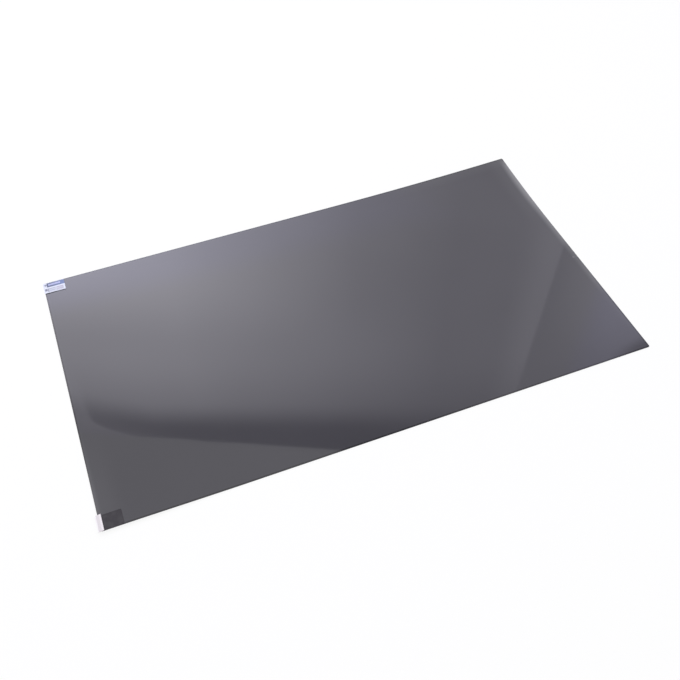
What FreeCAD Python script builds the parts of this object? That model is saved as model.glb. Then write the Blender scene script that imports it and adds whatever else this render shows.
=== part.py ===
# Monitor privacy filter: a thin dark film sheet that lies flat, with its far right corner curled up.
# A printed label is stuck on its far left corner, and a tape tab with a folded paper grip on its near
# left corner. Millimetres: +X along the long edge, +Y to the far edge, +Z up from where it lies.
# The origin is the middle of the sheet's rear face.
import FreeCAD
import Part
import Sketcher
import math
import os

doc = FreeCAD.newDocument("privacy_filter")

# Driving dimensions
DRIVING_DIMENSIONS = {
    # The film sheet, cut for a 24-inch screen of 16:9
    "sheet_width": 531.0,
    "sheet_height": 299.0,
    "sheet_thickness": 0.5,
    "sheet_corner_radius": 1.5,
    # The curl: where its bend line meets two edges, from the far right corner, and that corner's rise
    "curl_along_far_edge": 206.0,
    "curl_along_right_edge": 116.0,
    "curl_rise": 4.5,
    # The printed label, which stands a little past the left edge
    "label_width": 21.3,
    "label_height": 14.2,
    "label_thickness": 0.15,
    "label_corner_radius": 0.8,
    "label_overhang": 0.5,
    "label_inset": 0.3,
    # The tape of the pull tab: its stuck length on the sheet and its free end past the left edge
    "tape_stuck_length": 19.9,
    "tape_free_length": 2.0,
    "tape_height": 15.0,
    "tape_thickness": 0.1,
    "tape_corner_radius": 1.0,
    "tape_inset": 0.3,
    # The paper grip, folded over the tape's free end
    "grip_width": 4.9,
    "grip_height": 16.2,
    "grip_thickness": 0.15,
    "grip_fold_radius": 0.12,
    "grip_clearance": 0.1,
}
dims = doc.addObject("Spreadsheet::Sheet", "dims")
for row, (alias, value) in enumerate(DRIVING_DIMENSIONS.items(), start=1):
    dims.set(f"A{row}", alias.replace("_", " "))
    dims.set(f"B{row}", str(value))
    dims.setAlias(f"B{row}", alias)
doc.recompute()


def value_of(expression):
    """What an expression on the driving cells comes to, for a sketch's first shape."""
    return float(film.evalExpression(expression))


def new_body(label):
    """An empty body with that label."""
    body = doc.addObject("PartDesign::Body", label)
    body.Label = label
    return body


def sketch_on(body, name, role):
    """An empty sketch on one of the body's own origin planes."""
    planes = {feature.Role: feature for feature in body.Origin.OriginFeatures}
    sketch = body.newObject("Sketcher::SketchObject", name)
    sketch.AttachmentSupport = (planes[role], "")
    sketch.MapMode = "FlatFace"
    return sketch


def bind(sketch, constraint, name, expression):
    """Adds a dimension to a sketch and ties it to an expression."""
    sketch.renameConstraint(sketch.addConstraint(constraint), name)
    sketch.setExpression(f"Constraints.{name}", expression)


def square_outline(sketch, points):
    """A closed outline of level and upright lines through the points, the first on the sketch's origin."""
    corners = [FreeCAD.Vector(x, y, 0) for x, y in points]
    count = len(corners)
    for i, start in enumerate(corners):
        end = corners[(i + 1) % count]
        sketch.addGeometry(Part.LineSegment(start, end))
        level = abs(end.x - start.x) > abs(end.y - start.y)
        sketch.addConstraint(Sketcher.Constraint("Horizontal" if level else "Vertical", i))
    for i in range(count):
        sketch.addConstraint(Sketcher.Constraint("Coincident", i, 2, (i + 1) % count, 1))
    sketch.addConstraint(Sketcher.Constraint("Coincident", 0, 1, -1, 1))


def bind_length(sketch, line, name, expression):
    """Ties one line's length to an expression."""
    length = sketch.Geometry[line].length()
    bind(sketch, Sketcher.Constraint("Distance", line, length), name, expression)


def pad(body, sketch, name, length, symmetric=False):
    """Pads a sketch by an expression, up from its plane or to both sides of it."""
    feature = body.newObject("PartDesign::Pad", name)
    feature.Profile = sketch
    feature.setExpression("Length", length)
    feature.SideType = "Symmetric" if symmetric else "One side"
    doc.recompute()
    return feature


def round_edges(body, base, name, radius, wanted):
    """Fillets the straight edges of a feature that the test accepts, by their direction and middle."""
    edges = []
    for number, edge in enumerate(base.Shape.Edges, start=1):
        direction = edge.tangentAt(edge.FirstParameter)
        if wanted(direction, edge.CenterOfMass):
            edges.append(f"Edge{number}")
    fillet = body.newObject("PartDesign::Fillet", name)
    fillet.Base = (base, edges)
    fillet.setExpression("Radius", radius)
    return fillet


def upright(direction, middle):
    return abs(direction.z) > 0.99


def place(feature, x, y, z):
    """Ties a sub-part's position to three expressions."""
    feature.setExpression("Placement.Base.x", x)
    feature.setExpression("Placement.Base.y", y)
    feature.setExpression("Placement.Base.z", z)


def flat_piece(label, width, height, thickness, radius, rounded):
    """A thin rectangle with a corner on its own origin, and some of its corners rounded."""
    body = new_body(label)
    outline = sketch_on(body, f"{label}_outline", "XY_Plane")
    square_outline(outline, [(0, 0), (1, 0), (1, 1), (0, 1)])
    bind_length(outline, 0, "width", width)
    bind_length(outline, 1, "height", height)
    blank = pad(body, outline, f"{label}_blank", thickness)
    round_edges(body, blank, f"{label}_corners", radius, rounded)
    return body


# Film stock: flat up to the bend line, then a wide arc that rises towards the far right corner.
# The profile runs square to the bend line, so the body is turned to the curl's heading.
FAR, RIGHT = "dims.curl_along_far_edge", "dims.curl_along_right_edge"
BEND_LINE = f"sqrt({FAR} ^ 2 + {RIGHT} ^ 2)"
CURL_REACH = f"{FAR} * {RIGHT} / {BEND_LINE}"
CURL_RADIUS = f"(({CURL_REACH}) ^ 2 + dims.curl_rise ^ 2) / (2 * dims.curl_rise)"
CURL_HEADING = f"atan2({FAR}; {RIGHT})"
BEND_START = f"(dims.sheet_width / 2 * {RIGHT} + (dims.sheet_height / 2 - {RIGHT}) * {FAR}) / {BEND_LINE}"
PAST_THE_SHEET = "dims.sheet_width + dims.sheet_height"
CURL_STOCK = f"1.1 * {CURL_REACH}"

film = new_body("curled_film")
film.setExpression("Placement.Rotation.Angle", CURL_HEADING)
profile = sketch_on(film, "film_profile", "XZ_Plane")
thickness, radius = value_of("dims.sheet_thickness"), value_of(CURL_RADIUS)
turn = math.asin(value_of(CURL_STOCK) / radius)
rear_start = FreeCAD.Vector(value_of(BEND_START) - value_of(PAST_THE_SHEET), 0, 0)
rear_bend = FreeCAD.Vector(value_of(BEND_START), 0, 0)
through = FreeCAD.Vector(0, thickness, 0)
centre = rear_bend + FreeCAD.Vector(0, radius, 0)
to_end = FreeCAD.Vector(math.sin(turn), -math.cos(turn), 0)
axis = FreeCAD.Vector(0, 0, 1)
span = (1.5 * math.pi, 1.5 * math.pi + turn)
REAR, REAR_ARC, END, FRONT_ARC, FRONT, START = range(6)
profile.addGeometry([
    Part.LineSegment(rear_start, rear_bend),
    Part.ArcOfCircle(Part.Circle(centre, axis, radius), *span),
    Part.LineSegment(centre + to_end * radius, centre + to_end * (radius - thickness)),
    Part.ArcOfCircle(Part.Circle(centre, axis, radius - thickness), *span),
    Part.LineSegment(rear_bend + through, rear_start + through),
    Part.LineSegment(rear_start + through, rear_start),
])
profile.addConstraint([
    Sketcher.Constraint("PointOnObject", REAR, 1, -1),
    Sketcher.Constraint("Horizontal", REAR),
    Sketcher.Constraint("Tangent", REAR, 2, REAR_ARC, 1),
    Sketcher.Constraint("Coincident", REAR_ARC, 2, END, 1),
    Sketcher.Constraint("PointOnObject", REAR_ARC, 3, END),
    Sketcher.Constraint("Coincident", END, 2, FRONT_ARC, 2),
    Sketcher.Constraint("Coincident", REAR_ARC, 3, FRONT_ARC, 3),
    Sketcher.Constraint("Tangent", FRONT_ARC, 1, FRONT, 1),
    Sketcher.Constraint("Horizontal", FRONT),
    Sketcher.Constraint("Coincident", FRONT, 2, START, 1),
    Sketcher.Constraint("Vertical", START),
    Sketcher.Constraint("Coincident", START, 2, REAR, 1),
])
bind(profile, Sketcher.Constraint("DistanceX", -1, 1, REAR, 2, rear_bend.x), "bend_start", BEND_START)
bind_length(profile, REAR, "flat_length", PAST_THE_SHEET)
bind_length(profile, START, "thickness", "dims.sheet_thickness")
bind(profile, Sketcher.Constraint("Radius", REAR_ARC, radius), "curl_radius", CURL_RADIUS)
bind(profile, Sketcher.Constraint("DistanceX", REAR_ARC, 1, REAR_ARC, 2, radius * math.sin(turn)),
     "curl_stock", CURL_STOCK)
pad(film, profile, "film_stock", f"2 * ({PAST_THE_SHEET})", symmetric=True)

# Cutting die: the sheet's outline with its rounded corners, taller than the curl, from under the sheet
die = flat_piece("cutting_die", "dims.sheet_width", "dims.sheet_height",
                 "3 * dims.sheet_thickness + 2 * dims.curl_rise", "dims.sheet_corner_radius", upright)
place(die, "-dims.sheet_width / 2", "-dims.sheet_height / 2", "-dims.sheet_thickness")

# Film sheet: what the die cuts out of the curled stock
sheet = doc.addObject("Part::Common", "filter_sheet")
sheet.Label = "filter_sheet"
sheet.Base = film
sheet.Tool = die

# Printed label: a sticker on the sheet's front, in its far left corner
label = flat_piece("corner_label", "dims.label_width", "dims.label_height",
                   "dims.label_thickness", "dims.label_corner_radius", upright)
place(label, "-dims.sheet_width / 2 - dims.label_overhang",
      "dims.sheet_height / 2 - dims.label_inset - dims.label_height", "dims.sheet_thickness")


# Pull tab's tape: stuck to the front in the near left corner, with a free end past the left edge
def stuck_corner(direction, middle):
    return upright(direction, middle) and middle.x > value_of("dims.tape_free_length")


tape = flat_piece("pull_tab_tape", "dims.tape_free_length + dims.tape_stuck_length",
                  "dims.tape_height", "dims.tape_thickness", "dims.tape_corner_radius", stuck_corner)
place(tape, "-dims.sheet_width / 2 - dims.tape_free_length",
      "-dims.sheet_height / 2 + dims.tape_inset", "dims.sheet_thickness")

# Pull tab's grip: a paper strip folded round the free end. Its upper leaf lies on the tape,
# and its short lower leaf ends just before the sheet's edge.
grip = new_body("pull_tab_grip")
fold = sketch_on(grip, "grip_fold", "XZ_Plane")
upper_leaf, paper = value_of("dims.grip_width"), value_of("dims.grip_thickness")
lower_leaf = value_of("dims.tape_free_length") - value_of("dims.grip_clearance")
inside = value_of("dims.tape_thickness")
square_outline(fold, [
    (0, 0), (0, inside), (upper_leaf, inside), (upper_leaf, inside + paper),
    (-paper, inside + paper), (-paper, -paper), (lower_leaf, -paper), (lower_leaf, 0),
])
bind_length(fold, 0, "tape_inside", "dims.tape_thickness")
bind_length(fold, 1, "upper_leaf", "dims.grip_width")
bind_length(fold, 2, "upper_paper", "dims.grip_thickness")
bind_length(fold, 3, "upper_outside", "dims.grip_width + dims.grip_thickness")
bind_length(fold, 6, "lower_paper", "dims.grip_thickness")
bind_length(fold, 7, "lower_leaf", "dims.tape_free_length - dims.grip_clearance")
strip = pad(grip, fold, "grip_strip", "dims.grip_height", symmetric=True)


def fold_edge(direction, middle):
    return abs(direction.y) > 0.99 and middle.x < -value_of("dims.grip_thickness") / 2


round_edges(grip, strip, "grip_fold_edges", "dims.grip_fold_radius", fold_edge)
place(grip, "-dims.sheet_width / 2 - dims.tape_free_length",
      "-dims.sheet_height / 2 + dims.grip_height / 2", "dims.sheet_thickness")

# Check everything, then write one file for each sub-part
doc.recompute()
for feature in doc.Objects:
    if "Invalid" in feature.State or "Error" in feature.State:
        raise RuntimeError(f"{feature.Label} did not recompute: {feature.State}")
sub_parts = [sheet, label, tape, grip]
for sub_part in sub_parts:
    shape = sub_part.Shape
    if shape.isNull() or not shape.isValid() or len(shape.Solids) != 1:
        raise RuntimeError(f"{sub_part.Label} is not one valid solid")
os.makedirs("parts", exist_ok=True)
for sub_part in sub_parts:
    sub_part.Shape.exportStep(f"parts/{sub_part.Label}.step")
    box = sub_part.Shape.optimalBoundingBox(False, False)
    print(f"{sub_part.Label}: {box.XLength:.2f} x {box.YLength:.2f} x {box.ZLength:.2f} mm, "
          f"{sub_part.Shape.Volume:.1f} mm3")
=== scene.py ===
import math

import bmesh
import bpy
from mathutils import Matrix, Quaternion, Vector


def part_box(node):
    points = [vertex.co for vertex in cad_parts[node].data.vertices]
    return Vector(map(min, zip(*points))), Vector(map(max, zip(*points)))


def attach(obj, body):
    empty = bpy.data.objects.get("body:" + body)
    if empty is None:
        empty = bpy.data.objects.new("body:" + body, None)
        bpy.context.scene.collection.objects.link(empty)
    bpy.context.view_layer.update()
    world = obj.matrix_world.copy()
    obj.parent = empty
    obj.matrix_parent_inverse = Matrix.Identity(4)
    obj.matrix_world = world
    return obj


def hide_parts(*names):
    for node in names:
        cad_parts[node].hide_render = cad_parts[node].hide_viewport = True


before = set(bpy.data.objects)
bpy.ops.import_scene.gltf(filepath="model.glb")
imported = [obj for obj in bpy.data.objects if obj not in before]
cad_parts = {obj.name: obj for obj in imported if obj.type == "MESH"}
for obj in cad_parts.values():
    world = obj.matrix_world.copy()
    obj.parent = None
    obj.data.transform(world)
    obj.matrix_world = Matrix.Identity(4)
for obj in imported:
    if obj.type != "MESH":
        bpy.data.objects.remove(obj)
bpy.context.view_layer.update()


# Privacy film: a stiff sheet of smoke-dark louvre film with a glossy face, die-cut to the screen's outline.
# It lies flat, but its far right corner kept a curl, and the pull tab has raised its near left corner.
# Painted highlights pale its raised edges and corner, painted shade darkens its rims, and a fleck of dust
# lies by the right edge.
mm = 0.001
film_low, film_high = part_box("filter_sheet")
film_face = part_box("pull_tab_tape")[0].z
film_thickness = film_face - film_low.z
film_corner_radius = 1.5 * mm
curl_along_far_edge = 206 * mm
curl_along_right_edge = 116 * mm
curl_rise = film_high.z - film_face
curl_cuts = 36
pull_along_near_edge = 130 * mm
pull_along_left_edge = 60 * mm
pull_rise = 1.6 * mm
pull_cuts = 16
to_right = Vector((1, 0, 0))
to_far = Vector((0, 1, 0))
cut_tolerance = 1e-7
corner_steps = 6
sharp_angle = math.radians(35)
cut_edge_slope = 0.5

curl_heading = Vector((curl_along_right_edge, curl_along_far_edge, 0)).normalized()
curl_start = curl_heading.dot(Vector((film_high.x - curl_along_far_edge, film_high.y, 0)))
curl_reach = curl_heading.dot(Vector((film_high.x, film_high.y, 0))) - curl_start
curl_radius = (curl_reach ** 2 + curl_rise ** 2) / (2 * curl_rise)


def film_lift(point):
    """How far the film stands above the flat at a point: the curl's arc, and the pulled corner's slope."""
    past = max(0, curl_heading.dot(point) - curl_start)
    arc = curl_radius - math.sqrt(curl_radius ** 2 - past ** 2)
    leftward = max(0, 1 - (point.x - film_low.x) / pull_along_near_edge)
    nearward = max(0, 1 - (point.y - film_low.y) / pull_along_left_edge)
    return arc + pull_rise * leftward ** 2 * (3 - 2 * leftward) * nearward ** 2


def follow_film(bm):
    """Raises a flat mesh by as much as the film is raised below it."""
    for corner in bm.verts:
        corner.co.z += film_lift(corner.co)


def cut_across(bm, place, normal):
    """Cuts every face of bm along one plane, so that the sheet can bend there."""
    everything = bm.verts[:] + bm.edges[:] + bm.faces[:]
    bmesh.ops.bisect_plane(bm, geom=everything, dist=cut_tolerance, plane_co=place, plane_no=normal)


def cut_both_ways(bm, start, span, cuts):
    """Cuts a sheet across and along at even steps over a span, so that it can bend both ways."""
    for cut in range(1, cuts + 1):
        place = start + span * cut / cuts
        cut_across(bm, place, to_right)
        cut_across(bm, place, to_far)


def die_cut(low, high, height, corner_radius):
    """A flat rectangle with rounded corners, as a die cuts it from a web."""
    bm = bmesh.new()
    bmesh.ops.create_grid(bm, x_segments=1, y_segments=1, size=0.5)
    bmesh.ops.scale(bm, vec=(high.x - low.x, high.y - low.y, 1), verts=bm.verts)
    bmesh.ops.translate(bm, vec=((low.x + high.x) / 2, (low.y + high.y) / 2, height), verts=bm.verts)
    bmesh.ops.bevel(
        bm, geom=bm.verts[:], offset=corner_radius, offset_type="OFFSET", segments=corner_steps,
        profile=0.5, affect="VERTICES", material=-1, clamp_overlap=True,
    )
    return bm


def thicken(bm, thickness):
    """Gives a sheet its thickness behind its face, or in front of it where the thickness is negative."""
    bmesh.ops.solidify(bm, geom=bm.faces[:], thickness=thickness)
    bmesh.ops.recalc_face_normals(bm, faces=bm.faces[:])


def make_piece(name, bm, finishes):
    """Puts a finished bmesh in the scene as one piece, smooth apart from its cut edges."""
    mesh = bpy.data.meshes.new(name)
    bm.to_mesh(mesh)
    bm.free()
    for finish in finishes:
        mesh.materials.append(finish)
    mesh.shade_smooth()
    mesh.set_sharp_from_angle(angle=sharp_angle)
    piece = bpy.data.objects.new(name, mesh)
    bpy.context.scene.collection.objects.link(piece)
    return piece


film_mesh = die_cut(film_low, film_high, film_face, film_corner_radius)
for cut in range(curl_cuts):
    cut_across(film_mesh, curl_heading * (curl_start + curl_reach * cut / curl_cuts), curl_heading)
cut_both_ways(film_mesh, film_low, Vector((pull_along_near_edge, pull_along_left_edge, 0)), pull_cuts)
follow_film(film_mesh)
thicken(film_mesh, film_thickness)
for face in film_mesh.faces:
    face.material_index = int(abs(face.normal.z) < cut_edge_slope)


class Signal:
    """An output socket of a node tree. Arithmetic on it adds Math nodes to that tree."""

    def __init__(self, tree, socket=None):
        self.tree = tree
        self.socket = socket

    def node(self, kind, settings, inputs, output=0):
        """Adds a node, sets it up, fills or links its inputs, and gives one of its outputs."""
        added = self.tree.nodes.new(kind)
        for name, value in settings.items():
            setattr(added, name, value)
        for name, value in inputs.items():
            if isinstance(value, Signal):
                self.tree.links.new(value.socket, added.inputs[name])
            else:
                added.inputs[name].default_value = value
        return Signal(self.tree, added.outputs[output] if added.outputs else None)

    def maths(self, operation, *values):
        return self.node("ShaderNodeMath", {"operation": operation}, dict(enumerate(values)))

    def __add__(self, other):
        return self.maths("ADD", self, other)

    def __sub__(self, other):
        return self.maths("SUBTRACT", self, other)

    def __rsub__(self, other):
        return self.maths("SUBTRACT", other, self)

    def __mul__(self, other):
        return self.maths("MULTIPLY", self, other)

    def __abs__(self):
        return self.maths("ABSOLUTE", self)

    __radd__ = __add__
    __rmul__ = __mul__

    def least(self, other):
        return self.maths("MINIMUM", self, other)

    def share(self, start, end, rise="LINEAR"):
        """0 at start and 1 at end, with an even rise between them."""
        sockets = {"Value": self, "From Min": start, "From Max": end}
        return self.node("ShaderNodeMapRange", {"interpolation_type": rise}, sockets)

    def step(self, start, end):
        """0 at start and 1 at end, with a smooth rise between them."""
        return self.share(start, end, "SMOOTHSTEP")

    def inside(self, low, high, blur):
        """1 a blur inside low and high, and 0 a blur outside them."""
        return self.step(low - blur, low + blur) * self.step(high + blur, high - blur)

    def tint(self, colour, other):
        """The first colour where this is 0, the other where it is 1. Mix numbers its colour sockets."""
        return self.node("ShaderNodeMix", {"data_type": "RGBA"}, {0: self, 6: colour, 7: other}, 2)

    def scaled(self, factor):
        """This colour, times a number."""
        return self.node("ShaderNodeVectorMath", {"operation": "SCALE"}, {0: self, "Scale": factor})

    def axis(self, letter):
        return self.node("ShaderNodeSeparateXYZ", {}, {"Vector": self}, letter)

    def noise(self, size, detail):
        """Soft blotches about as large as size, around 0.5, over these coordinates."""
        sockets = {"Vector": self, "Scale": 1 / size, "Detail": detail}
        return self.node("ShaderNodeTexNoise", {"normalize": True}, sockets)

    def bump(self, strength, depth):
        """The normal of a face that stands up by a depth where this is 1."""
        return self.node("ShaderNodeBump", {}, {"Strength": strength, "Distance": depth, "Height": self})


def new_finish(name):
    """A material with no nodes yet, and the Object coordinates to start its nodes from."""
    finish = bpy.data.materials.new(name)
    finish.use_nodes = True
    finish.node_tree.nodes.clear()
    return finish, Signal(finish.node_tree).node("ShaderNodeTexCoord", {}, {}, "Object")


def surface(start, **sockets):
    """Ends a material in a Principled shader. Words of a socket's name are joined by underscores."""
    named = {name.replace("_", " "): value for name, value in sockets.items()}
    named = {("IOR" if name == "IOR" else name.title()): value for name, value in named.items()}
    shader = start.node("ShaderNodeBsdfPrincipled", {}, named)
    start.node("ShaderNodeOutputMaterial", {}, {"Surface": shader})


film_colour = (0.0635, 0.0615, 0.0705, 1)
film_haze_colour = (0.0687, 0.0666, 0.0764, 1)
# Painted shade: a darker colour along the film's rims, which stands in for their dark outline.
painted_rim_shade_colour = (0.034, 0.033, 0.037, 1)
# Painted highlight: the pale colour of the raised edges and corner, which the fleck of dust shares.
highlight_and_dust_colour = (0.235, 0.232, 0.24, 1)
cut_edge_colour = (0.02, 0.02, 0.023, 1)
film_roughness = 0.02
haze_roughness = 0.02
handling_roughness = 0.02
cut_edge_roughness = 0.45
die_mark_roughness = 0.2

# In these names a fade is a pair of values: where a mark starts, and where it is full.
# A stretch has the two ends of a mark, and the blur at each of them.
haze_fade = (0.3, 0.7)
handling_fade = (0.5, 0.72)
# Painted shade along the rims: how wide it is, and how far it moves off the pulled left edge.
painted_rim_shade_fade = (1.9 * mm, 0.9 * mm)
pulled_left_fade = (125 * mm, 20 * mm)
painted_rim_shade_pulled_off = 1.2 * mm
# The right, left and far marks below are painted highlights, pale where the film's edges are raised.
right_highlight_fade = (9 * mm, 0.5 * mm)
right_highlight_narrowing = 1.3 * mm
right_highlight_wide_stretch = (215 * mm, 275 * mm, 25 * mm)
right_highlight_at_near_end = 0.1
right_highlight_growth = 0.83
right_highlight_growth_fade = (60 * mm, 260 * mm)
right_highlight_patch = 0.25
right_highlight_patch_stretch = (85 * mm, 115 * mm, 15 * mm)
right_highlight_far_end_fade = (-5 * mm, 17 * mm)
right_highlight_near_end_fade = (8 * mm, 40 * mm)
# Where the painted rim shade takes over from the right edge's painted highlight.
right_painted_rim_shade_fade = (110 * mm, 70 * mm)
left_highlight = 0.2
left_highlight_fade = (5 * mm, 0)
left_sheen = 0.085
left_sheen_fade = (28 * mm, 3 * mm)
right_sheen = 0.1
right_sheen_fade = (26 * mm, 4 * mm)
right_sheen_farward_fade = (185 * mm, 225 * mm)
far_sheen = 0.06
far_sheen_fade = (16 * mm, 3 * mm)
far_sheen_rightward_fade = (360 * mm, 460 * mm)
fleck_from_right = 4.5 * mm
fleck_from_near = 132 * mm
fleck_fade = (2.1 * mm, 0.7 * mm)
fleck_paleness = 0.38

film_gloss, spot = new_finish("privacy_film_gloss")
broad_haze = spot.noise(size=180 * mm, detail=2)
handling_marks = spot.noise(size=35 * mm, detail=4).step(*handling_fade)
sheet_waves = spot.noise(size=150 * mm, detail=1)
from_left = spot.axis("X") - film_low.x
from_right = film_high.x - spot.axis("X")
from_near = spot.axis("Y") - film_low.y
from_far = film_high.y - spot.axis("Y")
pulled_left = from_near.step(*pulled_left_fade)
# The painted shade along the rims, kept clear of the pulled left edge.
from_rim = (from_left + painted_rim_shade_pulled_off * pulled_left).least(from_right).least(from_near).least(from_far)
painted_rim_shade = from_rim.step(*painted_rim_shade_fade)

# Painted highlight along the right edge, where the curl lifts it.
narrowing = right_highlight_narrowing * (1 - from_near.inside(*right_highlight_wide_stretch))
right_growth = right_highlight_growth * from_near.step(*right_highlight_growth_fade)
right_patch = right_highlight_patch * from_near.inside(*right_highlight_patch_stretch)
right_ends = from_far.step(*right_highlight_far_end_fade) * from_near.step(*right_highlight_near_end_fade)
painted_right_highlight = (from_right + narrowing).step(*right_highlight_fade)
painted_right_highlight = painted_right_highlight * (right_highlight_at_near_end + right_growth + right_patch) * right_ends
painted_right_highlight = painted_right_highlight * (1 - painted_rim_shade * from_near.step(*right_painted_rim_shade_fade))
# Painted highlights along the pulled left corner and by the curled right and far edges.
painted_left_highlight = left_highlight * from_left.step(*left_highlight_fade)
painted_left_sheen = left_sheen * from_left.step(*left_sheen_fade)
painted_right_sheen = right_sheen * from_right.step(*right_sheen_fade) * from_near.step(*right_sheen_farward_fade)
painted_far_sheen = far_sheen * from_far.step(*far_sheen_fade) * from_left.step(*far_sheen_rightward_fade)
from_fleck = abs(from_right - fleck_from_right) + abs(from_near - fleck_from_near)
fleck = fleck_paleness * from_fleck.step(*fleck_fade)
# The painted highlights and the fleck of dust, together.
painted_highlights_and_dust = painted_right_highlight + (painted_left_highlight + painted_left_sheen) * pulled_left + painted_right_sheen + painted_far_sheen + fleck

colour = broad_haze.step(*haze_fade).tint(film_colour, film_haze_colour)
# Painted shade: the rims are darkened.
colour = painted_rim_shade.tint(colour, painted_rim_shade_colour)
# The base colour takes the painted highlights and the fleck of dust.
surface(
    spot,
    base_color=painted_highlights_and_dust.tint(colour, highlight_and_dust_colour),
    roughness=film_roughness + haze_roughness * broad_haze + handling_roughness * handling_marks,
    IOR=1.5,
    normal=sheet_waves.bump(strength=0.1, depth=0.5 * mm),
)

film_edge, spot = new_finish("cut_film_edge")
die_marks = spot.noise(size=1.5 * mm, detail=3)
surface(
    spot,
    base_color=die_marks.tint(cut_edge_colour, film_colour),
    roughness=cut_edge_roughness + die_mark_roughness * die_marks,
    IOR=1.5,
)
film = make_piece("privacy_film", film_mesh, [film_gloss, film_edge])
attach(film, "root")
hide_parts("filter_sheet")


# Corner label: a small white sticker with a blue printed band, stuck on the film's far left corner.
# Its near edge has come unstuck. It stands up, most at the left, and reaches a little further over the
# film, which it shades.
label_low, label_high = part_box("corner_label")
label_thickness = label_high.z - label_low.z
label_corner_radius = 0.8 * mm
label_peel_depth = 6 * mm
label_peel_left = 0.55 * mm
label_peel_right = 0.33 * mm
label_peel_reach = 0.45 * mm
label_cuts = 8

label_low.y -= label_peel_reach
label_width = label_high.x - label_low.x
label_mesh = die_cut(label_low, label_high, label_low.z, label_corner_radius)
for cut in range(label_cuts):
    # The cuts across the width are half a step in, clear of the rounded corners.
    farward = label_peel_depth * (cut + 1) / label_cuts
    rightward = label_width * (cut + 0.5) / label_cuts
    cut_across(label_mesh, label_low + farward * to_far, to_far)
    cut_across(label_mesh, label_low + rightward * to_right, to_right)
for corner in label_mesh.verts:
    peeled = max(0, 1 - (corner.co.y - label_low.y) / label_peel_depth)
    right_share = (corner.co.x - label_low.x) / label_width
    corner.co.z += peeled ** 2 * (label_peel_left + (label_peel_right - label_peel_left) * right_share)
thicken(label_mesh, -label_thickness)

label_white = (0.68, 0.71, 0.82, 1)
label_bright = (0.74, 0.77, 0.88, 1)
panel_grey = (0.555, 0.575, 0.675, 1)
band_slate = (0.085, 0.11, 0.21, 1)
band_blue = (0.15, 0.21, 0.42, 1)
stroke_lavender = (0.47, 0.50, 0.76, 1)
bar_grey = (0.44, 0.47, 0.57, 1)
bar_pink = (0.49, 0.45, 0.58, 1)
mark_slate = (0.17, 0.18, 0.26, 1)
label_fibre_fade = (0.2, 0.8)
label_roughness = 0.38
label_fibre_roughness = 0.12
print_blur = 0.1 * mm
soft_print_blur = 2 * print_blur
band_blue_fade = (6 * mm, 18 * mm)
bar_rows = [(5.0, 6.1), (2.2, 3.3)]
stroke_ink = 0.9
divider_ink = 0.7
mark_ink = 0.9

label_print, spot = new_finish("printed_label_gloss")
across = spot.axis("X") - label_low.x
up = spot.axis("Y") - label_low.y - label_peel_reach
fibre = spot.noise(size=0.8 * mm, detail=3)


def printed(sides, ends, side_blur=print_blur):
    """1 in a printed box, 0 outside it. Sides and ends are in mm from the label's near left corner."""
    left, right = sides
    bottom, top = ends
    return across.inside(left * mm, right * mm, side_blur) * up.inside(bottom * mm, top * mm, print_blur)


panel = printed(sides=(4.2, 19.7), ends=(0.4, 6.3))
band = printed(sides=(3.6, 21.5), ends=(8.0, 13.9))
stroke = printed(sides=(5.0, 17.2), ends=(10.0, 12.4), side_blur=soft_print_blur)
divider = printed(sides=(3.7, 4.7), ends=(1.0, 6.2))
upper_mark = printed(sides=(1.3, 3.4), ends=(10.2, 12.6), side_blur=soft_print_blur)
lower_mark = printed(sides=(0.9, 3.4), ends=(2.6, 6.1), side_blur=soft_print_blur)
colour = fibre.step(*label_fibre_fade).tint(label_white, label_bright)
colour = panel.tint(colour, panel_grey)
colour = band.tint(colour, across.share(*band_blue_fade).tint(band_slate, band_blue))
colour = (stroke_ink * stroke).tint(colour, stroke_lavender)
for row in bar_rows:
    colour = printed(sides=(5.2, 11.0), ends=row).tint(colour, bar_grey)
    colour = printed(sides=(13.0, 19.3), ends=row).tint(colour, bar_pink)
colour = (divider_ink * divider + mark_ink * (upper_mark + lower_mark)).tint(colour, mark_slate)
surface(
    spot,
    base_color=colour,
    roughness=label_roughness + label_fibre_roughness * fibre,
    IOR=1.45,
    normal=fibre.bump(strength=0.2, depth=0.02 * mm),
)
label = make_piece("corner_label_sticker", label_mesh, [label_print])
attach(label, "root")
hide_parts("corner_label")


# Pull tab tape: a patch of smoke-tinted tape, stuck on the film's near left corner and raised with it.
# Its outer end runs past the film's edge into the grip, and its face is a little duller than the film's.
tape_low, tape_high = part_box("pull_tab_tape")
tape_thickness = tape_high.z - tape_low.z
tape_corner_radius = 1.0 * mm
tape_cuts = 6

tape_mesh = die_cut(tape_low, tape_high, tape_low.z, tape_corner_radius)
cut_both_ways(tape_mesh, tape_low, tape_high - tape_low, tape_cuts)
follow_film(tape_mesh)
thicken(tape_mesh, -tape_thickness)

tape_colour = (0.018, 0.0145, 0.021, 1)
tape_worn_colour = (0.026, 0.0235, 0.0285, 1)
trapped_air_fade = (0.45, 0.7)
tape_roughness = 0.16
trapped_air_roughness = 0.12

tape_finish, spot = new_finish("smoke_tape")
trapped_air = spot.noise(size=4 * mm, detail=3)
surface(
    spot,
    base_color=trapped_air.step(*trapped_air_fade).tint(tape_colour, tape_worn_colour),
    roughness=tape_roughness + trapped_air_roughness * trapped_air,
    IOR=1.48,
    normal=trapped_air.bump(strength=0.15, depth=0.05 * mm),
)
tape = make_piece("pull_tab_smoke_tape", tape_mesh, [tape_finish])
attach(tape, "root")
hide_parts("pull_tab_tape")


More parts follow.
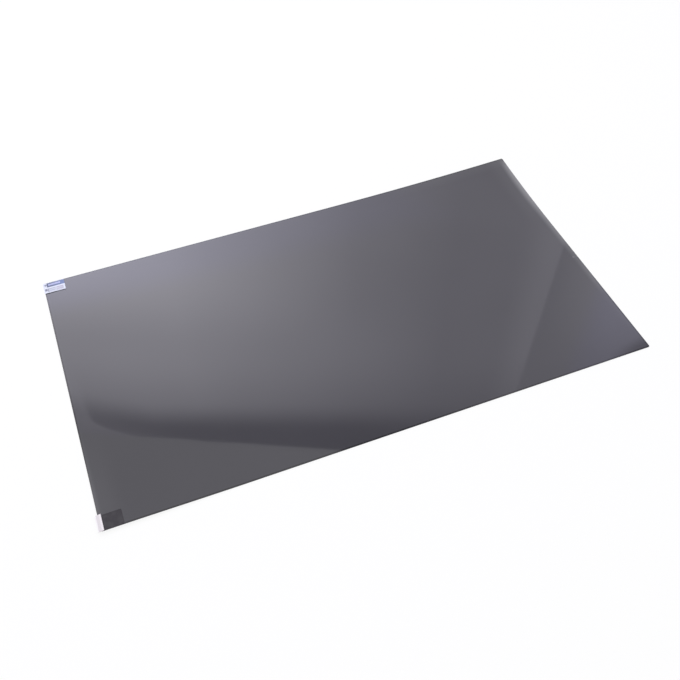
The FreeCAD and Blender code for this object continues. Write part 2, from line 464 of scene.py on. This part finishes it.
# Pull tab grip: a strip of matt white paper, folded round the free end of the tape outside the film's edge.
# Its short lower leaf stops before the film, and the long edge of its upper leaf stands up off the tape.
# Painted highlights whiten the fold and that long edge.
grip_low, grip_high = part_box("pull_tab_grip")
paper_thickness = 0.15 * mm
grip_clearance = 0.1 * mm
grip_lift = 0.7 * mm
grip_fold_steps = 8
grip_cuts = 6

fold_radius = (grip_high.z - grip_low.z) / 2
fold_middle = Vector((grip_low.x + fold_radius, 0, (grip_low.z + grip_high.z) / 2))
upper_leaf = grip_high.x - fold_middle.x
lower_leaf = film_low.x - grip_clearance - fold_middle.x


def carry_on(bm, edge, offset):
    """Extrudes an edge by an offset, and gives the edge at the new end."""
    grown = bmesh.ops.extrude_edge_only(bm, edges=[edge])["geom"]
    bmesh.ops.translate(bm, vec=offset, verts=[v for v in grown if isinstance(v, bmesh.types.BMVert)])
    return next(e for e in grown if isinstance(e, bmesh.types.BMEdge))


grip_mesh = bmesh.new()
ends = [grip_mesh.verts.new((grip_high.x, y, grip_high.z)) for y in (grip_low.y, grip_high.y)]
fold_edge = carry_on(grip_mesh, grip_mesh.edges.new(ends), -upper_leaf * to_right)
turned = bmesh.ops.spin(
    grip_mesh, geom=[fold_edge, *fold_edge.verts], cent=fold_middle, axis=to_far,
    angle=-math.pi, steps=grip_fold_steps, use_merge=False,
)["geom_last"]
last_edge = next(e for e in turned if isinstance(e, bmesh.types.BMEdge))
carry_on(grip_mesh, last_edge, lower_leaf * to_right)
leaf_start = Vector((fold_middle.x, grip_low.y, 0))
cut_both_ways(grip_mesh, leaf_start, Vector((upper_leaf, grip_high.y - grip_low.y, 0)), grip_cuts)
for corner in grip_mesh.verts:
    inward = max(0, (corner.co.x - fold_middle.x) / upper_leaf)
    if corner.co.z > fold_middle.z:
        corner.co.z += grip_lift * inward ** 2
follow_film(grip_mesh)
bmesh.ops.recalc_face_normals(grip_mesh, faces=grip_mesh.faces[:])
thicken(grip_mesh, paper_thickness)

paper_white = (0.80, 0.755, 0.777, 1)
paper_shade = (0.72, 0.69, 0.70, 1)
# Painted highlights: the fold and the raised long edge of the grip are whitened where light catches them.
edge_highlight_white = (0.89, 0.845, 0.865, 1)
fold_highlight_white = (0.97, 0.94, 0.955, 1)
edge_highlight_fade = (2.2 * mm, 1.1 * mm)
fold_highlight_fade = (1.0 * mm, 0.5 * mm)
paper_fibre_fade = (0.35, 0.75)
paper_roughness = 0.75
paper_fibre_roughness = 0.15

grip_paper, spot = new_finish("folded_white_paper")
fibre = spot.noise(size=0.6 * mm, detail=4)
# Painted highlights on the raised long edge and on the fold.
painted_edge_highlight = (grip_high.x - spot.axis("X")).step(*edge_highlight_fade)
painted_fold_highlight = (spot.axis("X") - grip_low.x).step(*fold_highlight_fade)
colour = fibre.step(*paper_fibre_fade).tint(paper_white, paper_shade)
colour = painted_edge_highlight.tint(colour, edge_highlight_white)
surface(
    spot,
    base_color=painted_fold_highlight.tint(colour, fold_highlight_white),
    roughness=paper_roughness + paper_fibre_roughness * fibre,
    IOR=1.4,
    normal=fibre.bump(strength=0.3, depth=0.03 * mm),
)
grip = make_piece("pull_tab_paper", grip_mesh, [grip_paper])
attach(grip, "root")
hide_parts("pull_tab_grip")


# Studio floor: a plain white table top under the film, which shows as white to the camera and in gloss.
# Most of that white is a light of its own, and the rest is lit, so that the film's shadow stays on it.
floor_size = 8.0
floor_drop = 0.1 * mm
floor_own_light = 0.85
full_white = (1, 1, 1, 1)


def shows_white(start):
    """1 where a surface itself is seen, plainly, in gloss or through glass, 0 where it lights others."""
    kinds = ("Is Camera Ray", "Is Glossy Ray", "Is Transmission Ray")
    sight, gloss, glass = [start.node("ShaderNodeLightPath", {}, {}, kind) for kind in kinds]
    return sight + gloss + glass


floor_white, spot = new_finish("white_table")
lit = spot.node("ShaderNodeBsdfDiffuse", {}, {"Color": full_white})
own_light = spot.node("ShaderNodeEmission", {}, {"Color": full_white})
own_share = floor_own_light * shows_white(spot)
table_shader = spot.node("ShaderNodeMixShader", {}, {0: own_share, 1: lit, 2: own_light})
spot.node("ShaderNodeOutputMaterial", {}, {"Surface": table_shader})

floor_mesh = bmesh.new()
bmesh.ops.create_grid(floor_mesh, x_segments=1, y_segments=1, size=floor_size / 2)
bmesh.ops.translate(floor_mesh, vec=(0, 0, -floor_drop), verts=floor_mesh.verts)
make_piece("table_top", floor_mesh, [floor_white])


# Light wall: a tall cloth light that stands upright behind the film and is seen in its gloss.
# Its cloth is brightest low at its left, and dies out towards a dark frame along its top. The frame ends in
# a round corner at its left, and the wall's foot and left end fade into the white of the room.
wall_turn = math.radians(-27.97)
wall_distance = 1.2
wall_left = -2.2
wall_bottom = 0.5
wall_foot = [(wall_left, wall_bottom), (0.505, wall_bottom)]
wall_head = [(wall_left, 2.2996), (0.449, 2.169)]
wall_cast = (1.0, 0.985, 1.068, 1)
low_cast = (1.0, 0.99, 1.175, 1)
low_cast_slant = 0.45
low_cast_fade = (1.06, 0.93)
cloth_glow = 1.057
lamp_glow = 1.94
lamp_leftward_fade = (0.196, -0.68)
low_lamp_glow = 2.415
low_lamp_leftward_fade = (-0.091, -1.159)
low_lamp_downward_fade = (1.659, 1.207)
side_glow = 0.403
side_glow_fade = (0.352, 0.47)
frame_tilt = 0.153
frame_turn = 0.865
hem_share = 0.462
hem_fade = (2.042, 1.852)
wide_hem_fade = (2.097, 1.537)
frame_glow = 0.01
frame_left_glow = 0.232
frame_left_fade = (-0.15, -0.95)
frame_bend_height = 2.1425
frame_bend = 18.0
crisp_end_share = 0.59
crisp_end_fade = (-1.1425, -1.1175)
soft_end_fade = (-1.2, -0.814)
end_glow = 0.265
end_glow_fade = (2.265, 2.14)
foot_fade = (wall_bottom, 0.92)
left_end_fade = (wall_left, -1.3)


def stand_up(name, foot, head, finish):
    """An upright card in the wall's plane. Its own X runs along the wall and its own Y up it."""
    card_mesh = bmesh.new()
    corners = [card_mesh.verts.new((*place, 0)) for place in (*foot, *reversed(head))]
    bmesh.ops.contextual_create(card_mesh, geom=corners)
    card = make_piece(name, card_mesh, [finish])
    card.matrix_world = (
        Matrix.Rotation(wall_turn, 4, "Z") @ Matrix.Translation((0, wall_distance, 0))
        @ Matrix.Rotation(math.radians(90), 4, "X")
    )
    card.visible_camera = False


def glow(start, colour):
    """Ends a material in plain light of a colour."""
    light = start.node("ShaderNodeEmission", {}, {"Color": colour})
    start.node("ShaderNodeOutputMaterial", {}, {"Surface": light})


wall_light, spot = new_finish("light_wall_glow")
along = spot.axis("X")
height = spot.axis("Y")
lamp = lamp_glow * along.share(*lamp_leftward_fade)
low_lamp = low_lamp_glow * along.share(*low_lamp_leftward_fade) * height.step(*low_lamp_downward_fade)
cloth = cloth_glow + lamp + low_lamp + side_glow * along.step(*side_glow_fade)
tilted = height + frame_tilt * (abs(along + frame_turn) - frame_turn)
lit_cloth = hem_share * tilted.step(*hem_fade) + (1 - hem_share) * tilted.step(*wide_hem_fade)
bend = height.share(frame_bend_height, frame_bend_height + 1)
from_end = along - frame_bend * bend * bend
crisp_end = crisp_end_share * from_end.step(*crisp_end_fade)
frame_end = crisp_end + (1 - crisp_end_share) * from_end.step(*soft_end_fade)
beyond_end = 1 + end_glow * height.step(*end_glow_fade)
frame_shade = frame_glow + frame_left_glow * along.share(*frame_left_fade)
dark_frame = beyond_end + frame_end * (frame_shade - beyond_end)
brightness = dark_frame + lit_cloth * (cloth - dark_frame)
brightness = 1 + (brightness - 1) * height.step(*foot_fade) * along.step(*left_end_fade)
cast = (height + low_cast_slant * along).step(*low_cast_fade).tint(wall_cast, low_cast)
glow(spot, cast.scaled(brightness))
stand_up("light_wall", wall_foot, wall_head, wall_light)


# Side card: a pale card that carries the light wall on at its right. It is brighter low down and has a dark
# upper corner, and its foot and right end fade into the white of the room.
side_right = 1.6
side_foot = [wall_foot[1], (side_right, wall_bottom)]
side_head = [wall_head[1], (side_right, 2.127)]
side_cast = (1.0, 0.985, 1.25, 1)
side_cast_fade = (0.58, 0.66)
side_level = 0.933
side_level_height = 1.7
side_downward_gain = 0.147
patch_glow = 1.071
patch_rightward_fade = (0.497, 0.697)
patch_downward_fade = (1.708, 1.001)
dark_corner_depth = 0.9
dark_corner_rightward_fade = (0.71, 0.81)
dark_corner_slant_fade = (2.15, 2.23)
right_end_fade = (side_right, 0.88)

side_light, spot = new_finish("side_card_glow")
along = spot.axis("X")
height = spot.axis("Y")
patch = along.share(*patch_rightward_fade) * height.step(*patch_downward_fade)
dark_corner = along.step(*dark_corner_rightward_fade) * (along + height).step(*dark_corner_slant_fade)
brightness = side_level + side_downward_gain * (side_level_height - height)
brightness = brightness + patch_glow * patch - dark_corner_depth * dark_corner
brightness = 1 + (brightness - 1) * height.step(*foot_fade) * along.step(*right_end_fade)
cast = along.step(*side_cast_fade).tint(wall_cast, side_cast)
glow(spot, cast.scaled(brightness))
stand_up("side_card", side_foot, side_head, side_light)


# Room light: an even white room that lights the film at a plain level.
# It shows as full white to the camera and in gloss.
room_level = 0.8

room = bpy.data.worlds.new("white_room")
room.use_nodes = True
room.node_tree.nodes.clear()
start = Signal(room.node_tree)
room_strength = room_level + (1 - room_level) * shows_white(start)
background = start.node("ShaderNodeBackground", {}, {"Color": full_white, "Strength": room_strength})
start.node("ShaderNodeOutputWorld", {}, {"Surface": background})
bpy.context.scene.world = room
bpy.context.scene.view_settings.view_transform = "Standard"


# Camera: looks down on the film from its near left side, as the photograph does.
# Its place, its turn and its lens were fitted to the four edges of the film.
view_azimuth = math.radians(-21.17)
view_elevation = math.radians(50.77)
view_roll = math.radians(-0.37)
view_distance = 0.823
view_aim = Vector((-9.0 * mm, -32.0 * mm, film_face))
view_lens = 44.88
view_sensor = 36.0

back = Vector((
    math.sin(view_azimuth) * math.cos(view_elevation),
    -math.cos(view_azimuth) * math.cos(view_elevation),
    math.sin(view_elevation),
))
lens = bpy.data.cameras.new("camera")
lens.lens = view_lens
lens.sensor_width = view_sensor
camera = bpy.data.objects.new("camera", lens)
camera.location = view_aim + back * view_distance
camera.rotation_mode = "QUATERNION"
camera.rotation_quaternion = (-back).to_track_quat("-Z", "Y") @ Quaternion((0, 0, 1), view_roll)
bpy.context.scene.collection.objects.link(camera)
bpy.context.scene.camera = camera
